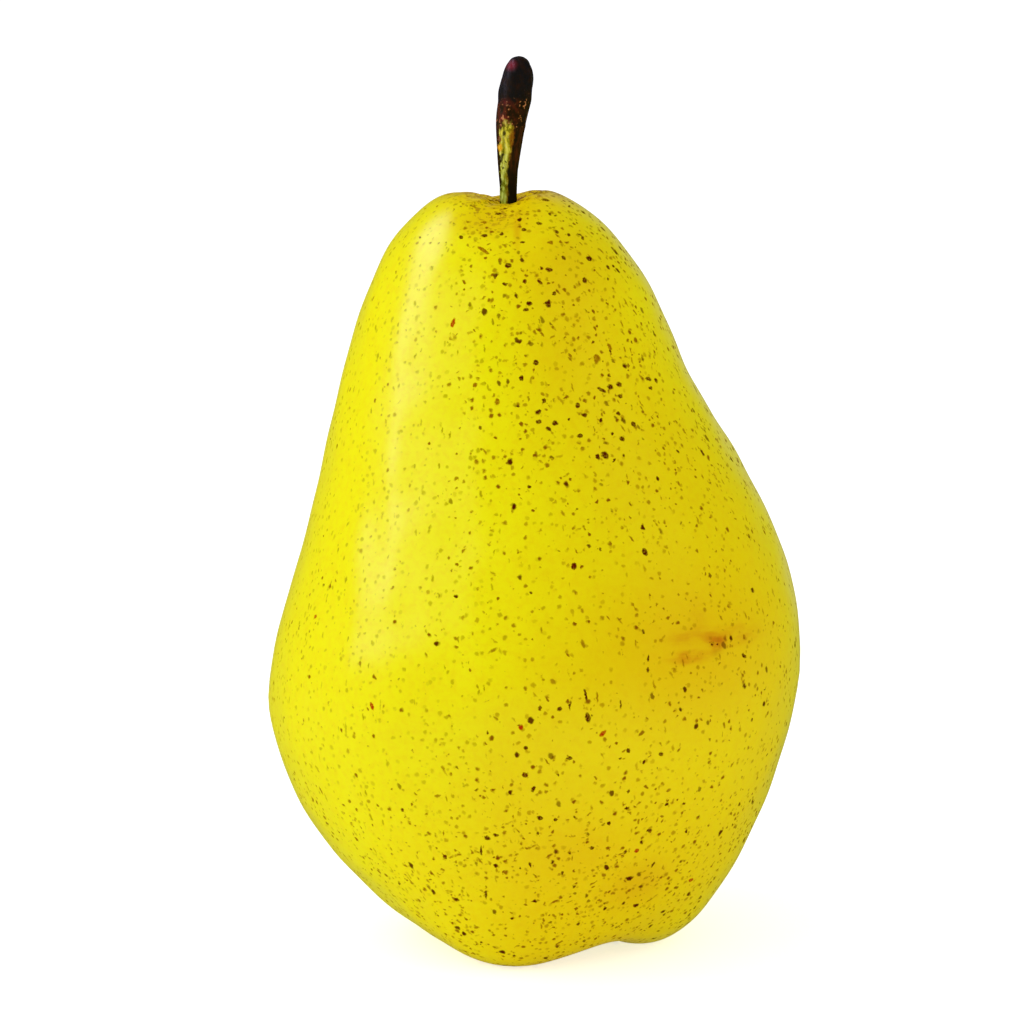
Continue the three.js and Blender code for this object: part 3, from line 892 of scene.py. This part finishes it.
def stem_material():
    """A woody stem: nearly black at its end, mottled red-brown below with painted shade on its right
    side, and green on its left foot.
    """
    wood = Recipe("stem_wood")
    place = wood.place()
    x, _, z = wood.axes(place)
    wander = wood.math("MULTIPLY_ADD", wood.noise(place, 1.6, 3.0, 0.65), 5.0, -2.5)
    height = wood.math("ADD", z, wander)
    fibre = wood.noise(wood.mapped(place, scale=(2.4, 2.4, 0.45)), 1.0, 4.0, 0.65)
    blotch = wood.noise(wood.mapped(place, scale=(1, 1, 0.7)), 0.9, 3.0, 0.7)
    mottle = wood.noise(wood.mapped(place, scale=(1, 1, 0.6)), 0.55, 3.0, 0.6)

    green = wood.blended(wood.between(height, 98, 106), FOOT_GREEN, FOOT_YELLOW)
    green = wood.blended(wood.between(mottle, 0.50, 0.64, 0.0, 0.45), green, FOOT_PALE)
    green = wood.blended(wood.between(fibre, 0.42, 0.62, 0.0, 0.75), green, FOOT_MOSS)
    green = wood.blended(wood.between(mottle, 0.46, 0.36, 0.0, 0.8), green, FOOT_SHADE)
    bark = wood.blended(wood.between(fibre, 0.38, 0.66), BARK_DARK, BARK_RED)
    bark = wood.blended(wood.between(z, 104, 98), bark, BARK_BLACK)

    # The bark covers the right of the foot, edges its left, and breaks over the green in blotches.
    middle = wood.math("MULTIPLY_ADD", wood.math("MAXIMUM", z, 101), 0.05, -8.43)
    off = wood.math("SUBTRACT", x, middle)
    edge = wood.between(z, 100.5, 106, -0.15, 0.35)
    edge = wood.math("MULTIPLY_ADD", blotch, 0.9, wood.math("SUBTRACT", edge, 0.45))
    past = wood.math("SUBTRACT", off, edge)
    radius = wood.math("MULTIPLY_ADD", wood.math("MAXIMUM", z, 99.5), 0.12, -10.84)
    rim = wood.between(wood.math("DIVIDE", off, radius), -0.66, -0.96)
    rim = wood.times(rim, wood.between(z, 100.5, 102.5, 0.2, 0.32))
    broken = wood.between(wood.math("ADD", rim, blotch), 0.62, 0.68)
    covered = wood.math("MAXIMUM", wood.between(past, -0.10, 0.16), broken)
    green = wood.blended(wood.between(past, -0.35, 0.1, 0.0, 0.7), green, WARM_BROWN)
    shaken = wood.leaned(wood.shaken(place, 0.5, 0.25), 0)
    foot = wood.blended(covered, green, bark)
    for tone, at_x, at_z, wide, high in STEM_BLOTCHES:
        spot = wood.spot(shaken, (at_x, -1.2, at_z), (wide, 1.2, high), edge=0.4)
        foot = wood.tinted(foot, tone, spot, 0.85)

    band = wood.blended(wood.between(blotch, 0.40, 0.62), BAND_DARK, BAND_RED)
    for at_x, at_z, wide, high in BAND_SPOTS:
        spot = wood.spot(shaken, (at_x, -1.6, at_z), (wide, 1.2, high), edge=0.7)
        band = wood.tinted(band, WINE, spot, 0.75)
    # Painted shade: the band darkens towards its right side, away from the lights on the left.
    band = wood.blended(wood.between(off, 0.2, 1.3, 0.0, 0.75), band, BARK_DARK)
    pale = wood.between(wood.noise(place, 0.42, 2.0), 0.60, 0.68)
    band = wood.tinted(band, BAND_PALE, pale, 0.75)
    end = wood.blended(wood.between(blotch, 0.40, 0.75), END_DARK, END_RED)
    rose = wood.spot(place, ROSY_END, (0.6, 0.8, 0.6), edge=0.9)
    end = wood.tinted(end, ROSE, rose, 0.75)

    colour = wood.blended(wood.between(height, 106.4, 107.6), foot, band)
    colour = wood.blended(wood.between(height, 109.2, 111.4), colour, end)
    wood.bump(wood.math("MULTIPLY_ADD", blotch, 0.8, fibre), 0.12 * MM, 0.8)
    rough = wood.between(height, 106, 111, 0.62, 0.42)
    return wood.finish(Base_Color=colour, Roughness=rough, IOR=1.45, Specular_IOR_Level=0.28)


def calyx_material():
    """The dry brown of the sepals, the plug and the stamens, darker and paler in fine fibres."""
    dry = Recipe("calyx_dry")
    place = dry.place()
    fibre = dry.noise(place, 0.5, 4.0, 0.65)
    colour = dry.blended(dry.between(fibre, 0.35, 0.65), HUSK_DARK, HUSK_PALE)
    dry.bump(fibre, 0.1 * MM, 0.8)
    return dry.finish(Base_Color=colour, Roughness=0.85, IOR=1.4)


# ---- The stage, the lights and the camera ----

FLOOR_RADIUS = 12.0  # in metres
FLOOR_SIDES = 96
FLOOR_SHADE = (0.86, 0.86, 0.86, 1)
FLOOR_GLOW = 0.275  # as light
FLOOR_GLOW_SEEN = 0.3  # what the camera sees on top of that

# How bright the world is as light, in mirror images and as the camera sees it.
WORLD_LIGHT = 0.60
WORLD_MIRRORED = 0.12
WORLD_SEEN = 1.05

# Lights as (name, azimuth, elevation, distance, (width, height), radiance, lean, mirrored). They
# face AIM_HEIGHT on the pear's axis. Sizes are in metres.
AIM_HEIGHT = 0.05
SOFTBOXES = [
    ("key_left", 91, 34, 1.3, (0.3, 1.14), 4.45, 35, True),
    ("key_top_left", 117, 52, 1.3, (0.26, 0.4), 3.5, 0, True),
    ("fill_front_left", 53, 34, 1.4, (0.9, 0.95), 0.7, 0, True),
    ("fill_right", -62, 30, 1.6, (1.0, 1.4), 0.84, 0, False),
    ("rim_right", -164, 18, 1.6, (0.7, 1.6), 0.2, 0, True),
]

# Points added to the display curve of blue, as (value, shown).
BLUE_CURVE = [(0.008, 0.0015), (0.02, 0.004), (0.045, 0.03), (0.09, 0.088), (0.14, 0.14)]


def floor_paper():
    """Plain matte paper that glows a little, and more as the camera sees it than as light."""
    paper = Recipe("floor_paper")
    seen = paper.node("LightPath", {}).outputs["Is Camera Ray"]
    glow = paper.math("MULTIPLY_ADD", seen, FLOOR_GLOW_SEEN, FLOOR_GLOW)
    emission = {"Emission_Color": (1, 1, 1, 1), "Emission_Strength": glow}
    return paper.finish(Base_Color=FLOOR_SHADE, Roughness=0.9, Specular_IOR_Level=0.0, **emission)


def add_floor():
    """A plain pale floor: a flat disc, so wide that no view sees its edge."""
    angle = ring_angles(FLOOR_SIDES, 0)
    rim = FLOOR_RADIUS * np.stack([np.cos(angle), np.sin(angle), np.zeros(FLOOR_SIDES)], -1)
    mesh = bpy.data.meshes.new("floor")
    mesh.from_pydata(rim.tolist(), [], [list(range(FLOOR_SIDES))])
    mesh.materials.append(floor_paper())
    floor = add_object("floor", mesh)
    floor.visible_glossy = False


def add_world():
    """White surroundings: bright where the camera sees them, softer as light, faint as mirrored."""
    studio = Recipe("studio", bpy.data.worlds, "Background")
    rays = studio.node("LightPath", {}).outputs
    strength = WORLD_LIGHT
    for kind, value in (("Is Glossy Ray", WORLD_MIRRORED), ("Is Camera Ray", WORLD_SEEN)):
        strength = studio.node("Mix", {"Factor": rays[kind], "A": strength, "B": value}).outputs[0]
    world = studio.finish(Color=(1, 1, 1, 1), Strength=strength)
    world.cycles.sampling_method = "NONE"  # so that every ray into the world knows its kind
    bpy.context.scene.world = world


def add_softbox(name, azimuth, elevation, distance, size, radiance, lean, mirrored):
    """A rectangular light facing the pear's middle; azimuth 0 is the camera's side, 90 the left.

    Its top leans over by lean degrees, towards the back for a light on the left.
    """
    width, height = size
    turn, rise = math.radians(azimuth), math.radians(elevation)
    away = Vector((
        -math.sin(turn) * math.cos(rise), -math.cos(turn) * math.cos(rise), math.sin(rise),
    ))
    light = bpy.data.lights.new(name, "AREA")
    light.shape = "RECTANGLE"
    light.size = width
    light.size_y = height
    light.energy = radiance * math.pi * width * height
    box = add_object(name, light)
    box.location = away * distance + Vector((0, 0, AIM_HEIGHT))
    roll = Quaternion(away, math.radians(lean))
    box.rotation_euler = (roll @ away.to_track_quat("Z", "Y")).to_euler()
    box.visible_glossy = mirrored


def deepen_yellows(look):
    """Plain display colours, with the darkest blues pulled down, as in a saturated print."""
    look.view_transform = "Standard"
    look.use_curve_mapping = True
    blue = look.curve_mapping.curves[2]
    for point in BLUE_CURVE:
        blue.points.new(*point)
    look.curve_mapping.update()


def add_camera():
    """The camera that sees the pear from the front, a little from above."""
    camera = bpy.data.cameras.new("camera")
    camera.lens = CAMERA_LENS
    camera.sensor_width = CAMERA_SENSOR
    camera.clip_end = 100
    view = add_object("camera", camera)
    target = Vector(CAMERA_TARGET) * MM
    away = Vector(CAMERA_AWAY)
    view.location = target + away * CAMERA_DISTANCE * MM
    view.rotation_euler = away.to_track_quat("Z", "Y").to_euler()
    bpy.context.scene.camera = view


add_world()
add_floor()
for softbox in SOFTBOXES:
    add_softbox(*softbox)
add_camera()
deepen_yellows(bpy.context.scene.view_settings)

skin = skin_rings()
make_piece("fruit_skin", [skin], skin_material(skin), ["pear_fruit"], "OFBake")
make_piece("woody_stem", [stem_rings()], stem_material(), ["stem"], "OFBake")
calyx_look = calyx_material()
sepals = [sepal_rings(*sepal) for sepal in SEPALS]
make_piece("dried_calyx", [plug_rings(), *sepals], calyx_look, ["calyx"])
stamens = [stamen_rings(number) for number in range(STAMENS)]
make_piece("stamens", stamens, calyx_look, [])
